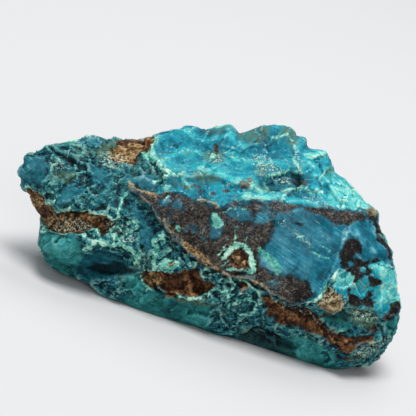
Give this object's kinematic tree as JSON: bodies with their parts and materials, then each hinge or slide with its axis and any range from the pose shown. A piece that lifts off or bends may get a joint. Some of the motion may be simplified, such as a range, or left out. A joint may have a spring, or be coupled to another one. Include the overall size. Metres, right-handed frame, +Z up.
{
  "type": "chrysocolla specimen",
  "caption": "Rough broken lump of blue-green chrysocolla rock, veined and crusted, that stands by itself on a flat break along its long lower side",
  "frame": {"origin": "centre of the bounding box, at the height of the flat lower break that the stone rests on", "axes": "+X along the stone's length, towards its heavy blunt end; -Y the way its best face looks, leaning back about 20 degrees; +Z up"},
  "size_m": [0.205, 0.0854, 0.0975],
  "materials": {
    "chrysocolla": "rough blue-green chrysocolla with pale mint rims, brown limonite hollows, black manganese oxide and one slick blue slip face"
  },
  "bodies": {
    "root": {"chrysocolla_stone": "chrysocolla"}
  },
  "joints": []
}
